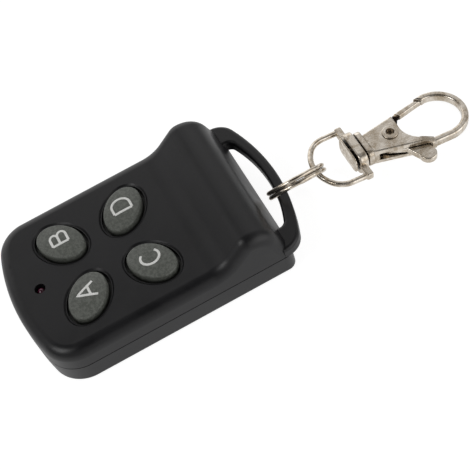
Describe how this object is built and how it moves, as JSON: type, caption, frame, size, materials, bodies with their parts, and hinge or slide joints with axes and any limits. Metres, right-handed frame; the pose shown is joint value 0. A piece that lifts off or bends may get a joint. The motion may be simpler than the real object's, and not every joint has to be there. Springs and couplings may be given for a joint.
{
  "type": "remote control key fob",
  "caption": "Pocket remote key fob with oval rubber keys, a battery hump, a key-ring rim, a split ring and a swivel trigger clasp.",
  "frame": {"origin": "on the flat back of the case, below the middle of its width and length", "axes": "+Z out of the key face, +Y towards the lamp end and away from the split ring, +X to the right of the keys"},
  "size_m": [0.038, 0.1051, 0.0155],
  "materials": {
    "case_plastic": "fine matt moulding",
    "key_rubber": "satin silicone",
    "black_nylon": "plain moulding",
    "switch_body": "plain moulding",
    "board_laminate": "solder mask",
    "chip_moulding": "moulded epoxy",
    "plated_can": "bright plate",
    "copper_track": "tinned copper",
    "battery_can": "printed sleeve",
    "contact_strip": "plated spring strip",
    "lamp_lens": "tinted clear lens",
    "screw_steel": "blackened",
    "nickel_wire": "nickel plate",
    "nickel_casting": "nickel plated casting",
    "nickel_rivet": "nickel plate"
  },
  "bodies": {
    "fob": {"top_shell": "case_plastic", "bottom_shell": "case_plastic", "case_screws": "screw_steel", "keypad_mat": "key_rubber", "circuit_board": "board_laminate", "switch_a": "switch_body", "switch_b": "switch_body", "switch_c": "switch_body", "switch_d": "switch_body", "lamp_spacer": "black_nylon", "signal_lamp": "lamp_lens", "code_chip": "chip_moulding", "resonator": "plated_can", "aerial_loop": "copper_track", "chip_parts": "chip_moulding", "battery": "battery_can", "battery_contact_minus": "contact_strip", "battery_contact_plus": "contact_strip"},
    "key_body_a": {"key_a": "key_rubber"},
    "plunger_body_a": {"switch_plunger_a": "black_nylon"},
    "key_body_b": {"key_b": "key_rubber"},
    "plunger_body_b": {"switch_plunger_b": "black_nylon"},
    "key_body_c": {"key_c": "key_rubber"},
    "plunger_body_c": {"switch_plunger_c": "black_nylon"},
    "key_body_d": {"key_d": "key_rubber"},
    "plunger_body_d": {"switch_plunger_d": "black_nylon"},
    "ring": {"split_ring": "nickel_wire"},
    "eye": {"swivel_eye": "nickel_casting"},
    "hook": {"hook_body": "nickel_casting", "swivel_rivet": "nickel_rivet", "trigger_rivet": "nickel_rivet", "trigger_spring": "contact_strip"},
    "trigger": {"trigger_lever": "nickel_casting"}
  },
  "joints": [
    {"name": "key_a_press", "type": "slide", "parent": "fob", "child": "key_body_a", "axis": [0, 0, -1], "range_m": [0, 0.0003], "stiffness_N_per_m": 300},
    {"name": "plunger_a_press", "type": "slide", "parent": "fob", "child": "plunger_body_a", "axis": [0, 0, -1], "range_m": [0, 0.0003], "stiffness_N_per_m": 100},
    {"name": "key_b_press", "type": "slide", "parent": "fob", "child": "key_body_b", "axis": [0, 0, -1], "range_m": [0, 0.0003], "stiffness_N_per_m": 300},
    {"name": "plunger_b_press", "type": "slide", "parent": "fob", "child": "plunger_body_b", "axis": [0, 0, -1], "range_m": [0, 0.0003], "stiffness_N_per_m": 100},
    {"name": "key_c_press", "type": "slide", "parent": "fob", "child": "key_body_c", "axis": [0, 0, -1], "range_m": [0, 0.0003], "stiffness_N_per_m": 300},
    {"name": "plunger_c_press", "type": "slide", "parent": "fob", "child": "plunger_body_c", "axis": [0, 0, -1], "range_m": [0, 0.0003], "stiffness_N_per_m": 100},
    {"name": "key_d_press", "type": "slide", "parent": "fob", "child": "key_body_d", "axis": [0, 0, -1], "range_m": [0, 0.0003], "stiffness_N_per_m": 300},
    {"name": "plunger_d_press", "type": "slide", "parent": "fob", "child": "plunger_body_d", "axis": [0, 0, -1], "range_m": [0, 0.0003], "stiffness_N_per_m": 100},
    {"name": "ring_swing", "type": "hinge", "parent": "fob", "child": "ring", "pos_m": [-0.0041, -0.0333, 0.0065], "axis": [1, 0, 0], "range_deg": [-30, 50]},
    {"name": "eye_swing", "type": "hinge", "parent": "ring", "child": "eye", "pos_m": [-0.0041, -0.04346, 0.0064], "axis": [-0.5878, 0, 0.809], "range_deg": [-30, 30]},
    {"name": "hook_swivel", "type": "hinge", "parent": "eye", "child": "hook", "pos_m": [-0.0035, -0.05279, 0.00449], "axis": [0, 0.9907, 0.1357], "continuous": true},
    {"name": "trigger_open", "type": "hinge", "parent": "hook", "child": "trigger", "pos_m": [-0.0039, -0.05953, 0.00357], "axis": [0, 0.1357, -0.9907], "range_deg": [0, 24], "stiffness_Nm_per_rad": 0.02}
  ],
  "couplings": [
    {"joint": "plunger_a_press", "follows": "key_a_press", "ratio": 1},
    {"joint": "plunger_b_press", "follows": "key_b_press", "ratio": 1},
    {"joint": "plunger_c_press", "follows": "key_c_press", "ratio": 1},
    {"joint": "plunger_d_press", "follows": "key_d_press", "ratio": 1}
  ]
}
